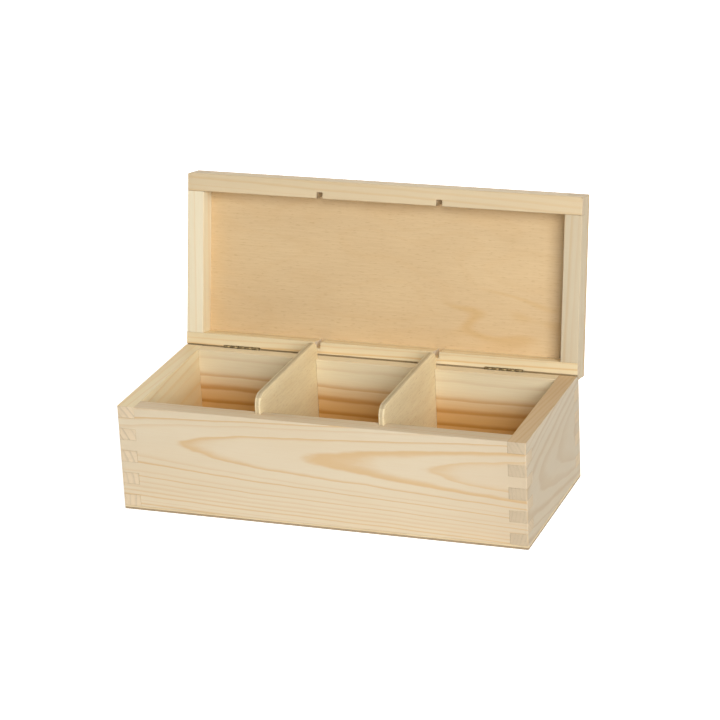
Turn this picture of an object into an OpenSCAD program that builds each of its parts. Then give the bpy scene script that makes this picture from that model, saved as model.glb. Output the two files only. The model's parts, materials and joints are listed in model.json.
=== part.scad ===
// Hinged pine tea bag box with three bays, drawn standing on its base with the lid leaning open.
// Millimetres. X runs to the right, Y to the back and Z up; the origin is the centre of the underside.
// Base and lid are glued up as one finger-jointed case and then sawn apart, so the finger pattern and
// the divider grooves of the base carry on into the lid.

/* [Box] */
// Outer width of the box, left to right
box_w = 290; // [260:1:360]
// Outer depth of the box, front to back
box_d = 127; // [100:1:180]
// Height of the base walls above the bottom panel
base_wall_h = 73; // [50:1:120]
// Thickness of the solid boards of base and lid
board_t = 12.5; // [10:0.5:16]
// Thickness of the bottom panel
bottom_t = 3; // [2:0.5:6]
// Radius on the upright outer corners
corner_r = 1; // [0.5:0.5:3]

/* [Lid] */
// Height of the lid rails, from the rim to the top panel
lid_rail_h = 14; // [12:0.5:30]
// Thickness of the plywood top panel
lid_panel_t = 4; // [3:0.5:6]
// Gap between the rims of base and lid when the box is closed
rim_gap = 0.4; // [0.2:0.1:0.8]
// Angle from closed to fully open, where the lid leans on its stop
open_angle = 100.5; // [85:0.5:110]
// Size of the chamfers along the back edges of both rims, which stop the lid
stop_chamfer = 4.5; // [3:0.5:6]
// Play left between the two stop chamfers when the lid is open, in degrees
stop_play = 0.8; // [0.4:0.1:2]

/* [Corner joints] */
// Height that each finger comes close to
finger_target_h = 8; // [6:0.5:10]
// Glue gap round each finger
joint_gap = 0.1; // [0.04:0.02:0.3]

/* [Dividers] */
// Thickness of the plywood dividers
divider_t = 4; // [3:0.5:6]
// Clear width of the left bay
left_bay_w = 85.5; // [60:0.5:90]
// Clear width of the middle bay
middle_bay_w = 84; // [60:0.5:90]
// Depth of the divider grooves in the front and back boards
groove_depth = 4.5; // [3:0.5:6]
// Clearance on each side of a divider in its groove
groove_side_gap = 0.15; // [0.05:0.05:0.3]
// Clearance at each end of a divider in its groove
groove_end_gap = 0.4; // [0.2:0.1:1]
// Clearance between the top of the dividers and the lid panel when the box is closed
divider_top_gap = 1.4; // [1:0.2:6]
// Radius on the top corners of the dividers, which lets the lid rail swing past
divider_corner_r = 8; // [8:0.5:12]

/* [Hinges] */
// Length of each hinge along the rim
hinge_len = 27.5; // [20:0.5:36]
// Left end of the box to the middle of the left hinge
left_hinge_inset = 42.5; // [40:0.5:55]
// Right end of the box to the middle of the right hinge
right_hinge_inset = 52.5; // [40:0.5:60]
// Outer diameter of the rolled knuckles
knuckle_d = 2.2; // [2:0.1:3]
// Number of knuckles on each hinge, shared between its two leaves
knuckle_count = 5; // [3:2:7]
// Side gap between neighbouring knuckles
knuckle_gap = 0.2; // [0.1:0.05:0.4]
// Diameter of the hinge pin
pin_d = 1; // [0.8:0.1:1.2]
// Radial running clearance between pin and knuckle
pin_clearance = 0.05; // [0.02:0.01:0.1]
// Sheet thickness of the leaves
leaf_t = 0.5; // [0.3:0.05:0.6]
// Depth of each leaf in the wood, from the pin
leaf_depth = 8; // [6:0.5:10]
// Number of barbs on each end of a leaf
barb_count = 3; // [2:1:5]
// Depth of each barb
barb_depth = 0.8; // [0.4:0.1:1.2]
// Clearance round the leaves and knuckles in the wood
hinge_slot_gap = 0.15; // [0.1:0.05:0.3]

/* [Hidden] */
$fn = 64;

// Extra length that carries a cut clear of a face
cut = 1;
half_w = box_w / 2;
half_d = box_d / 2;
base_h = bottom_t + base_wall_h;
rim_z = base_h + rim_gap;
lid_panel_z = rim_z + lid_rail_h;

// An odd number of equal fingers fills the base wall; the side walls own the first, the last and
// every second one. The saw cut runs through the next finger of the front and back boards, and what
// is left of it lies along the lid rim, under one whole finger of the side rails.
finger_count = 2 * round((base_wall_h / finger_target_h - 1) / 2) + 1;
finger_h = base_wall_h / finger_count;
side_fingers = [for (i = [0:2:finger_count - 1]) [bottom_t + i * finger_h, bottom_t + (i + 1) * finger_h]];
long_fingers = [for (i = [1:2:finger_count - 1]) [bottom_t + i * finger_h, bottom_t + (i + 1) * finger_h]];
lid_side_fingers = [[lid_panel_z - finger_h, lid_panel_z]];
lid_long_fingers = [[rim_z, lid_panel_z - finger_h]];

// The two chamfers are mirror images about the rim gap. The pin lies in the middle of that gap, as far
// in from the back as makes their outer edges meet just past the full opening angle.
hinge_inset = (stop_chamfer + rim_gap / 2) / tan((open_angle + stop_play) / 2);
hinge_y = half_d - hinge_inset;
hinge_z = base_h + rim_gap / 2;
left_hinge_x = -half_w + left_hinge_inset;
right_hinge_x = half_w - right_hinge_inset;

knuckle_r = knuckle_d / 2;
knuckle_pitch = hinge_len / knuckle_count;
// The plate of a leaf starts clear of the other leaf's knuckles
leaf_shoulder = knuckle_r + knuckle_gap;
barb_pitch = (leaf_depth - leaf_shoulder) / (barb_count + 1);

divider_len = box_d - 2 * board_t + 2 * (groove_depth - groove_end_gap);
divider_h = base_wall_h + rim_gap + lid_rail_h - divider_top_gap;
left_divider_x = -half_w + board_t + left_bay_w + divider_t / 2;
right_divider_x = left_divider_x + divider_t + middle_bay_w;

pine = "#ead3ab";
plywood = "#d8b57f";
steel = "#6f6a62";

// ---- Shapes shared by base and lid, drawn with the box closed ----

// Turns closed lid parts about the pin to the fully open lid
module opened() {
    translate([0, hinge_y, hinge_z])
        rotate([-open_angle, 0, 0])
            translate([0, -hinge_y, -hinge_z])
                children();
}

// Plan of the box with its rounded corners
module box_plan() {
    square([box_w - 2 * corner_r, box_d], center = true);
    square([box_w, box_d - 2 * corner_r], center = true);
    for (x = [-1, 1], y = [-1, 1])
        translate([x * (half_w - corner_r), y * (half_d - corner_r)])
            circle(r = corner_r);
}

// Full plan of the box from height z0 to z1
module box_slab(z0, z1) {
    translate([0, 0, z0])
        linear_extrude(z1 - z0)
            box_plan();
}

// V-shaped cut along the back of the case that leaves a stop chamfer on each rim
module stop_cut() {
    reach = stop_chamfer + cut;
    outline = [
        [half_d - stop_chamfer, base_h],
        [half_d + cut, base_h - reach],
        [half_d + cut, rim_z + reach],
        [half_d - stop_chamfer, rim_z]
    ];
    translate([-half_w - cut, 0, 0])
        rotate([90, 0, 90])
            linear_extrude(box_w + 2 * cut)
                polygon(outline);
}

// Board across the front (end = -1) or back (end = 1), let out at both ends for the side fingers
module long_board(end, z0, z1, slots) {
    difference() {
        intersection() {
            box_slab(z0, z1);
            translate([-half_w, end > 0 ? half_d - board_t : -half_d, z0])
                cube([box_w, board_t, z1 - z0]);
        }
        for (side = [-1, 1], slot = slots)
            translate([
                side > 0 ? half_w - board_t - joint_gap : -half_w - cut,
                end > 0 ? half_d - board_t - cut : -half_d - cut,
                slot[0] - joint_gap / 2
            ])
                cube([board_t + joint_gap + cut, board_t + 2 * cut, slot[1] - slot[0] + joint_gap]);
    }
}

// Board at the left (side = -1) or right (side = 1), let out at both ends for the long fingers
module side_board(side, z0, z1, slots) {
    difference() {
        intersection() {
            box_slab(z0, z1);
            translate([side > 0 ? half_w - board_t : -half_w, -half_d, z0])
                cube([board_t, box_d, z1 - z0]);
        }
        for (end = [-1, 1], slot = slots)
            translate([
                side > 0 ? half_w - board_t - cut : -half_w - cut,
                end > 0 ? half_d - board_t - joint_gap : -half_d - cut,
                slot[0] - joint_gap / 2
            ])
                cube([board_t + 2 * cut, board_t + joint_gap + cut, slot[1] - slot[0] + joint_gap]);
    }
}

// Grooves for both dividers in the inner face of the front or back boards, through base and lid
module divider_grooves(end) {
    groove_w = divider_t + 2 * groove_side_gap;
    inner_y = half_d - board_t;
    for (x = [left_divider_x, right_divider_x])
        translate([x - groove_w / 2, end > 0 ? inner_y - cut : -inner_y - groove_depth, bottom_t - cut])
            cube([groove_w, groove_depth + cut, lid_panel_z - bottom_t + 2 * cut]);
}

// Round pocket for the knuckles and saw kerfs for the leaves of one hinge, in both rims
module hinge_cut(x) {
    cut_len = hinge_len + 2 * hinge_slot_gap;
    kerf_depth = leaf_depth + hinge_slot_gap;
    translate([x - cut_len / 2, hinge_y, hinge_z])
        rotate([0, 90, 0])
            cylinder(r = knuckle_r + hinge_slot_gap, h = cut_len);
    translate([x - cut_len / 2, hinge_y - knuckle_r - hinge_slot_gap, hinge_z - kerf_depth])
        cube([cut_len, leaf_t + 2 * hinge_slot_gap, 2 * kerf_depth]);
}

module hinge_cuts() {
    hinge_cut(left_hinge_x);
    hinge_cut(right_hinge_x);
}

// ---- Base ----

module base_front_wall() {
    color(pine)
        difference() {
            long_board(-1, bottom_t, base_h, side_fingers);
            divider_grooves(-1);
        }
}

module base_back_wall() {
    color(pine)
        difference() {
            long_board(1, bottom_t, base_h, side_fingers);
            divider_grooves(1);
            stop_cut();
            hinge_cuts();
        }
}

module base_side_wall(side) {
    color(pine)
        difference() {
            side_board(side, bottom_t, base_h, long_fingers);
            stop_cut();
        }
}

module base_left_wall() {
    base_side_wall(-1);
}

module base_right_wall() {
    base_side_wall(1);
}

module bottom_panel() {
    color(plywood)
        box_slab(0, bottom_t);
}

// Side view of a divider, standing on the bottom panel, with rounded top corners
module divider_profile() {
    half_len = divider_len / 2;
    translate([-half_len, 0])
        square([divider_len, divider_h - divider_corner_r]);
    translate([-half_len + divider_corner_r, 0])
        square([divider_len - 2 * divider_corner_r, divider_h]);
    for (end = [-1, 1])
        translate([end * (half_len - divider_corner_r), divider_h - divider_corner_r])
            circle(r = divider_corner_r);
}

module divider(x) {
    color(plywood)
        translate([x - divider_t / 2, 0, bottom_t])
            rotate([90, 0, 90])
                linear_extrude(divider_t)
                    divider_profile();
}

module left_divider() {
    divider(left_divider_x);
}

module right_divider() {
    divider(right_divider_x);
}

// ---- Lid ----

module lid_front_rail() {
    color(pine)
        opened()
            difference() {
                long_board(-1, rim_z, lid_panel_z, lid_side_fingers);
                divider_grooves(-1);
            }
}

module lid_back_rail() {
    color(pine)
        opened()
            difference() {
                long_board(1, rim_z, lid_panel_z, lid_side_fingers);
                divider_grooves(1);
                stop_cut();
                hinge_cuts();
            }
}

module lid_side_rail(side) {
    color(pine)
        opened()
            difference() {
                side_board(side, rim_z, lid_panel_z, lid_long_fingers);
                stop_cut();
            }
}

module lid_left_rail() {
    lid_side_rail(-1);
}

module lid_right_rail() {
    lid_side_rail(1);
}

module lid_top_panel() {
    color(plywood)
        opened()
            box_slab(lid_panel_z, lid_panel_z + lid_panel_t);
}

// ---- Hinges: a rolled knuckle row on a barbed leaf that is pressed into a saw kerf ----

// Outline of one leaf from the pin line down, with saw-toothed ends and tabs to its own knuckles.
// first is the number of the leaf's first knuckle, counted from the left.
module leaf_outline(first) {
    half_len = hinge_len / 2;
    right_edge = [
        for (i = [0:barb_count - 1])
            each [
                [half_len, -leaf_shoulder - i * barb_pitch],
                [half_len - barb_depth, -leaf_shoulder - (i + 1) * barb_pitch]
            ]
    ];
    left_edge = [for (i = [len(right_edge) - 1:-1:0]) [-right_edge[i][0], right_edge[i][1]]];
    tip_half = half_len - 2 * barb_depth;
    polygon(concat(right_edge, [[tip_half, -leaf_depth], [-tip_half, -leaf_depth]], left_edge));
    for (i = [first:2:knuckle_count - 1])
        translate([-half_len + i * knuckle_pitch + knuckle_gap / 2, -leaf_shoulder])
            square([knuckle_pitch - knuckle_gap, leaf_shoulder]);
}

// One leaf with the pin along X at the origin, its plate hanging down at the front of the knuckles
module leaf(first) {
    difference() {
        union() {
            translate([0, -knuckle_r + leaf_t, 0])
                rotate([90, 0, 0])
                    linear_extrude(leaf_t)
                        leaf_outline(first);
            for (i = [first:2:knuckle_count - 1])
                translate([-hinge_len / 2 + i * knuckle_pitch + knuckle_gap / 2, 0, 0])
                    rotate([0, 90, 0])
                        cylinder(r = knuckle_r, h = knuckle_pitch - knuckle_gap);
        }
        translate([-hinge_len / 2 - cut, 0, 0])
            rotate([0, 90, 0])
                cylinder(r = pin_d / 2 + pin_clearance, h = hinge_len + 2 * cut);
    }
}

module base_leaf(x) {
    color(steel)
        translate([x, hinge_y, hinge_z])
            leaf(0);
}

module lid_leaf(x) {
    color(steel)
        opened()
            translate([x, hinge_y, hinge_z])
                mirror([0, 0, 1])
                    leaf(1);
}

module hinge_pin(x) {
    color(steel)
        translate([x - (hinge_len - knuckle_gap) / 2, hinge_y, hinge_z])
            rotate([0, 90, 0])
                cylinder(r = pin_d / 2, h = hinge_len - knuckle_gap);
}

module left_hinge_base_leaf() {
    base_leaf(left_hinge_x);
}

module left_hinge_lid_leaf() {
    lid_leaf(left_hinge_x);
}

module left_hinge_pin() {
    hinge_pin(left_hinge_x);
}

module right_hinge_base_leaf() {
    base_leaf(right_hinge_x);
}

module right_hinge_lid_leaf() {
    lid_leaf(right_hinge_x);
}

module right_hinge_pin() {
    hinge_pin(right_hinge_x);
}

base_front_wall();
base_back_wall();
base_left_wall();
base_right_wall();
bottom_panel();
left_divider();
right_divider();
lid_front_rail();
lid_back_rail();
lid_left_rail();
lid_right_rail();
lid_top_panel();
left_hinge_base_leaf();
left_hinge_lid_leaf();
left_hinge_pin();
right_hinge_base_leaf();
right_hinge_lid_leaf();
right_hinge_pin();
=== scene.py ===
"""Pine tea bag box with an open lid: boards, plywood, hinges, floor, lights and camera."""

import json
import math

import bmesh
import bpy
from mathutils import Euler, Matrix, Vector


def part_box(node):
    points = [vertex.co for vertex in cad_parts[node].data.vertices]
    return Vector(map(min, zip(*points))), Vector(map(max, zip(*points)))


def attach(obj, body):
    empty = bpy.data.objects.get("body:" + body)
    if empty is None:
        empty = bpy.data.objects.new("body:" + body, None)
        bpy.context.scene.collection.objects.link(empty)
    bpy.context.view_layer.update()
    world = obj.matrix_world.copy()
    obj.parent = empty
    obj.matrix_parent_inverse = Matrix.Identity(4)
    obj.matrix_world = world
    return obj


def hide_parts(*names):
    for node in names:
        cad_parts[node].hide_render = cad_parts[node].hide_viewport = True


bl_info = {
    "name": "Pine Tea Box",
    "version": (1, 0, 0),
    "blender": (4, 5, 0),
    "location": "3D View > Sidebar > Tea Box",
    "description": "Dresses a finger-jointed tea bag box in pine, birch plywood and bronzed steel",
    "category": "Object",
}

MM = 0.001
UP = Vector((0, 0, 1))

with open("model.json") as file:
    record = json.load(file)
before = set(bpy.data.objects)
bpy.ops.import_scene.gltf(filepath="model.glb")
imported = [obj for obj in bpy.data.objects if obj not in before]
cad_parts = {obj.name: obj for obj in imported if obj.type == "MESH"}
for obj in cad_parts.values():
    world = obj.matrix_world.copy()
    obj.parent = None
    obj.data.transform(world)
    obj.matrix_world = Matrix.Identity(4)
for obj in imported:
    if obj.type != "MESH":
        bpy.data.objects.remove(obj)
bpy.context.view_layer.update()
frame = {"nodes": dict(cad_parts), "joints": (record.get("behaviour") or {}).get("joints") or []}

# ---- Sizes that follow the case, in metres ----

LID_HINGE = frame["joints"][0]
HINGE_POINT = Vector(LID_HINGE["pos_m"])
OPEN_ANGLE = math.radians(LID_HINGE["range_deg"][1])

WALL_LOW, WALL_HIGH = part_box("base_front_wall")
RIM_Z = WALL_HIGH.z
HALF_W = WALL_HIGH.x
HALF_D = -WALL_LOW.y
BOARD_T = WALL_HIGH.y - WALL_LOW.y
LID_RIM_Z = RIM_Z + 2 * (HINGE_POINT.z - RIM_Z)
STOP_CHAMFER = 4.5 * MM
CORNER_R = 1.05 * MM
BOTTOM_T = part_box("bottom_panel")[1].z

# The hinge leaves: the shoulder is the plate's gap below its knuckles
LEAF_LENGTH = 27.5 * MM
LEAF_DEPTH = 8 * MM
LEAF_SHOULDER = 0.2 * MM
BARBS = 3
BARB_DEPTH = 0.8 * MM

# Turns a point of the lid, as it stands open, to where it is when the box is closed
CLOSE_LID = (
    Matrix.Translation(HINGE_POINT)
    @ Matrix.Rotation(OPEN_ANGLE, 4, "X")
    @ Matrix.Translation(-HINGE_POINT)
)
STAY = Matrix.Identity(4)


# ---- Settings that a user would change ----


def length_setting(name, description, value, low, high):
    """A length and its limits, given in millimetres."""
    return bpy.props.FloatProperty(
        name=name,
        description=description,
        default=value * MM,
        min=low * MM,
        max=high * MM,
        precision=5,
        subtype="DISTANCE",
        unit="LENGTH",
    )


def colour_setting(name, description, value):
    """A colour, as linear red, green and blue."""
    return bpy.props.FloatVectorProperty(
        name=name, description=description, default=value, min=0.0, max=1.0, subtype="COLOR"
    )


def power_setting(name, description, value):
    """A light's power in watts."""
    return bpy.props.FloatProperty(
        name=name,
        description=description,
        default=value,
        min=0.0,
        max=1000.0,
        subtype="POWER",
        unit="POWER",
    )


def angle_setting(name, description, value):
    """An angle, given in degrees."""
    return bpy.props.FloatProperty(
        name=name,
        description=description,
        default=math.radians(value),
        subtype="ANGLE",
        unit="ROTATION",
    )


class TeaBoxCase(bpy.types.PropertyGroup):
    """How the boards are finished at their edges"""

    eased_edge: length_setting(
        "Eased Edge", "Width that the sandpaper takes off the rims and outer edges", 0.6, 0.1, 1.0
    )
    joint_edge: length_setting(
        "Joint Edge", "Width of the hairline where boards meet in a finger joint", 0.09, 0.02, 0.3
    )
    ply_edge: length_setting(
        "Plywood Edge", "Width of the rounding on the plywood pieces", 0.5, 0.1, 1.2
    )
    edge_steps: bpy.props.IntProperty(
        name="Edge Steps",
        description="Number of facets across each rounded edge",
        default=3,
        min=1,
        max=6,
    )


class TeaBoxPine(bpy.types.PropertyGroup):
    """Colours of the solid boards"""

    early_wood: colour_setting(
        "Early Wood", "Pale wood between the growth lines", (0.790, 0.655, 0.455)
    )
    late_wood: colour_setting("Late Wood", "Tan growth lines", (0.690, 0.420, 0.165))
    heart_wood: colour_setting(
        "Heart Wood", "Warmer wood towards the middle of the tree", (0.640, 0.380, 0.150)
    )
    end_grain: colour_setting(
        "End Grain", "Greyer wood on the cut ends of the boards", (0.660, 0.535, 0.372)
    )
    # Rim colour: partly hand wear, partly painted shade and warm bounce light on the rims
    handled: colour_setting(
        "Handled Rim", "Darker wood along the rims, where hands rub", (0.500, 0.300, 0.120)
    )
    glue_line: colour_setting("Glue Line", "Hairline in the finger joints", (0.200, 0.120, 0.055))


class TeaBoxPlywood(bpy.types.PropertyGroup):
    """Colours of the birch plywood"""

    veneer: colour_setting("Veneer", "Face of the lid's plywood", (0.735, 0.550, 0.315))
    bottom_veneer: colour_setting(
        "Bottom Veneer", "Face of the plywood under the base", (0.770, 0.640, 0.420)
    )
    divider_veneer: colour_setting(
        "Divider Veneer", "Face of the paler plywood in the dividers", (0.910, 0.785, 0.505)
    )
    fleck: colour_setting("Fleck", "Short dark pores in the face", (0.470, 0.290, 0.130))
    figure: colour_setting(
        "Figure",
        "Tan contour lines where the veneer was peeled through a bend",
        (0.640, 0.400, 0.160),
    )
    core: colour_setting("Core", "Middle layer, seen on the edges", (0.345, 0.258, 0.153))
    glue: colour_setting("Glue", "Thin line between two layers", (0.150, 0.085, 0.040))


class TeaBoxHinge(bpy.types.PropertyGroup):
    """Sizes and colour of the pressed-in hinges"""

    knuckle_d: length_setting(
        "Knuckle Diameter", "Outer diameter of the rolled knuckles", 2.2, 1.5, 2.4
    )
    leaf_t: length_setting("Sheet Thickness", "Thickness of the steel sheet", 0.5, 0.3, 0.6)
    knuckle_count: bpy.props.IntProperty(
        name="Knuckles",
        description="Number of knuckles on each hinge, shared between its leaves",
        default=5,
        min=3,
        max=7,
    )
    knuckle_gap: length_setting(
        "Knuckle Gap", "Side gap between neighbouring knuckles", 0.2, 0.1, 0.4
    )
    steel: colour_setting("Steel", "Bronzed face of the hinge", (0.200, 0.145, 0.068))


class TeaBoxStudio(bpy.types.PropertyGroup):
    """Floor, lights and camera"""

    floor_colour: colour_setting("Floor", "Colour of the floor", (0.90, 0.90, 0.90))
    front_power: power_setting(
        "Front Light", "Power of the low soft light at the front right of the box", 225.0
    )
    top_power: power_setting("Top Light", "Power of the high soft light", 36.0)
    back_power: power_setting("Back Light", "Power of the soft light behind the lid", 72.0)
    side_power: power_setting("Side Light", "Power of the soft light at the box's left", 75.0)
    top_colour: colour_setting(
        "Top Light Colour", "Warmth of the high soft light", (1.0, 0.84, 0.62)
    )
    world_level: bpy.props.FloatProperty(
        name="Surround",
        description="Brightness of the white surroundings as they light the box",
        default=0.10,
        min=0.0,
        max=2.0,
        subtype="FACTOR",
    )
    azimuth: angle_setting("Azimuth", "Camera's angle round the box, from its front", 20.64)
    elevation: angle_setting("Elevation", "Camera's angle above the horizon", 20.72)
    roll: angle_setting("Roll", "Camera's tilt about its own line of sight", -2.83)
    distance: bpy.props.FloatProperty(
        name="Distance",
        description="Camera's distance from the point that it looks at",
        default=1.975,
        min=0.5,
        max=5.0,
        subtype="DISTANCE",
        unit="LENGTH",
    )
    lens: bpy.props.FloatProperty(
        name="Lens",
        description="Focal length on a 36 mm sensor",
        default=145.45,
        min=20.0,
        max=300.0,
        subtype="DISTANCE_CAMERA",
        unit="CAMERA",
    )


# ---- Node helpers ----


def feed(tree, socket, value):
    """Links another socket to a socket, or sets its value."""
    if isinstance(value, bpy.types.NodeSocket):
        tree.links.new(value, socket)
    else:
        socket.default_value = value


def add_node(tree, kind, inputs=None, **settings):
    """A node of that kind, with its properties and its named or numbered inputs set."""
    node = tree.nodes.new(kind)
    for name, value in settings.items():
        setattr(node, name, value)
    for key, value in (inputs or {}).items():
        feed(tree, node.inputs[key], value)
    return node


def maths(tree, operation, *values):
    """Output of a Math node over values or sockets."""
    node = add_node(tree, "ShaderNodeMath", dict(enumerate(values)), operation=operation)
    return node.outputs[0]


def plus(tree, a, b):
    return maths(tree, "ADD", a, b)


def minus(tree, a, b):
    return maths(tree, "SUBTRACT", a, b)


def times(tree, a, b):
    return maths(tree, "MULTIPLY", a, b)


def squares(tree, a, b):
    """Sum of the squares of two values or sockets."""
    return plus(tree, maths(tree, "POWER", a, 2.0), maths(tree, "POWER", b, 2.0))


def ramp(tree, value, low, high, out_low=0.0, out_high=1.0):
    """Smooth step of a value from low to high."""
    node = add_node(
        tree,
        "ShaderNodeMapRange",
        {
            "Value": value,
            "From Min": low,
            "From Max": high,
            "To Min": out_low,
            "To Max": out_high,
        },
        interpolation_type="SMOOTHSTEP",
    )
    return node.outputs["Result"]


def blend_colour(tree, factor, under, over, mode="MIX"):
    """Colour of one over another by a factor."""
    node = add_node(tree, "ShaderNodeMix", data_type="RGBA", blend_type=mode)
    for key, value in (("Factor", factor), ("A", under), ("B", over)):
        feed(tree, next(s for s in node.inputs if s.name == key and s.enabled), value)
    return next(s for s in node.outputs if s.enabled)


def tinged(tree, under, over, mask, strength):
    """Colour of one over another, where a mask says, by a strength."""
    return blend_colour(tree, times(tree, mask, strength), under, over)


def split(tree, vector):
    return add_node(tree, "ShaderNodeSeparateXYZ", {"Vector": vector}).outputs


def stretched_noise(tree, vector, scale, seed, detail=2.0, roughness=0.5):
    """Noise over a vector, with its own scale on each axis."""
    spread = add_node(
        tree,
        "ShaderNodeMapping",
        {"Vector": vector, "Location": seed, "Scale": scale},
        vector_type="POINT",
    )
    noise = add_node(
        tree,
        "ShaderNodeTexNoise",
        {"Vector": spread.outputs[0], "Scale": 1.0, "Detail": detail, "Roughness": roughness},
        noise_dimensions="3D",
    )
    return noise.outputs["Fac"]


def new_group(name, numbers, masks):
    """An empty shader group that takes a vector and named numbers, and puts out named masks;
    returns the tree and its input and output nodes."""
    tree = bpy.data.node_groups.new(name, "ShaderNodeTree")
    new_socket = tree.interface.new_socket
    new_socket(name="Vector", in_out="INPUT", socket_type="NodeSocketVector")
    for label, default in numbers.items():
        socket = new_socket(name=label, in_out="INPUT", socket_type="NodeSocketFloat")
        socket.default_value = default
    for label in masks:
        new_socket(name=label, in_out="OUTPUT", socket_type="NodeSocketFloat")
    return tree, add_node(tree, "NodeGroupInput"), add_node(tree, "NodeGroupOutput")


def place_group(tree, group, **inputs):
    """A copy of a shader group in a tree, with its inputs set by name."""
    node = add_node(tree, "ShaderNodeGroup", node_tree=group)
    for label, value in inputs.items():
        feed(tree, node.inputs[label.replace("_", " ").title()], value)
    return node.outputs


def rgba(colour, by=1.0):
    """A colour with full alpha, made darker or brighter by a factor."""
    return (*(c * by for c in colour), 1.0)


# ---- Shared effects ----


def seed_shift(tree, seed):
    """The seed as a shift along each axis, so that each piece reads another part of the noise."""
    return add_node(tree, "ShaderNodeCombineXYZ", {"X": seed, "Y": seed, "Z": seed}).outputs[0]


def put_out_noises(tree, out, vector, shift, noises):
    """Feeds named outputs with stretched noises, each a smooth step between two levels."""
    for name, scale, detail, roughness, low, high in noises:
        noise = stretched_noise(tree, vector, scale, shift, detail, roughness)
        feed(tree, out.inputs[name], ramp(tree, noise, low, high))


def growth_ring_group():
    """Growth rings round a tree's middle line, which is the X axis of the vector."""
    tree, given, out = new_group(
        "Growth Rings",
        {"Ring Width": 3.0 * MM, "Phase": 0.0, "Waviness": 1.0 * MM, "Seed": 0.0},
        ("Late Wood", "Fibre", "Tone", "Rays"),
    )
    value = given.outputs
    vector = value["Vector"]
    shift = seed_shift(tree, value["Seed"])
    # Slow sway of the whole tree, then the smaller ripple of single rings
    sway = stretched_noise(tree, vector, (5.5, 14.0, 14.0), shift, detail=1.0)
    ripple = stretched_noise(tree, vector, (24.0, 70.0, 70.0), shift, detail=3.0, roughness=0.55)
    sway_by = times(tree, minus(tree, sway, 0.5), 6.0)
    ripple_by = times(tree, minus(tree, ripple, 0.5), 3.0)
    bend = times(tree, plus(tree, sway_by, ripple_by), value["Waviness"])
    parts = split(tree, vector)
    radius = maths(tree, "SQRT", squares(tree, parts["Y"], parts["Z"]))
    rings = maths(tree, "DIVIDE", plus(tree, radius, bend), value["Ring Width"])
    count = plus(tree, rings, value["Phase"])
    # Some years grow wider and darker than others
    year = add_node(
        tree,
        "ShaderNodeTexNoise",
        {"W": plus(tree, count, value["Seed"]), "Scale": 0.9, "Detail": 0.0},
        noise_dimensions="1D",
    ).outputs["Fac"]
    turn = maths(tree, "FRACT", plus(tree, count, times(tree, year, 0.5)))
    rise = maths(tree, "POWER", ramp(tree, turn, 0.40, 0.88), 1.6)
    late = times(tree, rise, ramp(tree, turn, 0.88, 0.995, 1.0, 0.0))
    strength = ramp(tree, year, 0.32, 0.68, 0.45, 1.0)
    feed(tree, out.inputs["Late Wood"], times(tree, late, strength))
    noises = (
        ("Fibre", (38.0, 1250.0, 1250.0), 3.0, 0.6, 0.32, 0.68),
        ("Tone", (7.0, 32.0, 32.0), 2.0, 0.5, 0.3, 0.7),
        ("Rays", (150.0, 500.0, 500.0), 2.0, 0.5, 0.55, 0.75),
    )
    put_out_noises(tree, out, vector, shift, noises)
    return tree


def veneer_group():
    """Face of birch plywood, with its grain along the X axis of the vector."""
    tree, given, out = new_group(
        "Birch Veneer", {"Seed": 0.0}, ("Fleck", "Figure", "Tone", "Fibre")
    )
    vector = given.outputs["Vector"]
    shift = seed_shift(tree, given.outputs["Seed"])
    noises = (
        ("Fleck", (190.0, 1500.0, 1500.0), 2.0, 0.5, 0.56, 0.74),
        ("Fibre", (48.0, 760.0, 760.0), 3.0, 0.6, 0.3, 0.7),
        ("Tone", (9.0, 22.0, 22.0), 2.0, 0.5, 0.3, 0.7),
    )
    put_out_noises(tree, out, vector, shift, noises)
    # Peeled veneer shows the rings as slow, closed contour lines
    field = stretched_noise(tree, vector, (7.0, 16.0, 16.0), shift, detail=2.0, roughness=0.45)
    contour = maths(tree, "PINGPONG", times(tree, field, 11.0), 0.5)
    feed(tree, out.inputs["Figure"], ramp(tree, contour, 0.0, 0.3, 1.0, 0.0))
    return tree


def handling_group():
    """Slow smudges and the polish that hands leave, stronger where the mask is."""
    tree, given, out = new_group(
        "Handling Wear", {"Mask": 0.0, "Scale": 60.0}, ("Wear", "Smudge")
    )
    value = given.outputs
    noise = add_node(
        tree,
        "ShaderNodeTexNoise",
        {"Vector": value["Vector"], "Scale": value["Scale"], "Detail": 4.0, "Roughness": 0.6},
    ).outputs["Fac"]
    broken = ramp(tree, noise, 0.35, 0.65, 0.35, 1.0)
    feed(tree, out.inputs["Wear"], times(tree, broken, value["Mask"]))
    feed(tree, out.inputs["Smudge"], ramp(tree, noise, 0.45, 0.75))
    return tree


SHARED = {}


def shared(make):
    """The node group that make() builds, built once."""
    if make.__name__ not in SHARED:
        SHARED[make.__name__] = make()
    return SHARED[make.__name__]


# ---- Materials ----

# Where a plywood sheet's glue lines lie: their distance from its middle, as a share of its
# thickness, and half the width over which the core fades into the face
GLUE_AT = 0.17
CORE_FADE = 0.02


def log_frame(middle, along):
    """Frame of the log that a board was sawn from: X runs along its middle line, from a point
    of that line."""
    x = Vector(along).normalized()
    y = (UP - UP.dot(x) * x).normalized()
    turned = Matrix((x, y, x.cross(y))).transposed().to_4x4()
    return Matrix.Translation(Vector(middle) * MM) @ turned


def mapped_vector(tree, placed, closed):
    """Object coordinates of a piece turned into a placed frame, with the box closed."""
    coords = add_node(tree, "ShaderNodeTexCoord").outputs["Object"]
    into = placed.inverted() @ closed
    mapping = add_node(
        tree,
        "ShaderNodeMapping",
        {
            "Vector": coords,
            "Location": into.to_translation(),
            "Rotation": into.to_euler("XYZ"),
        },
        vector_type="POINT",
    )
    return mapping.outputs[0]


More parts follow.
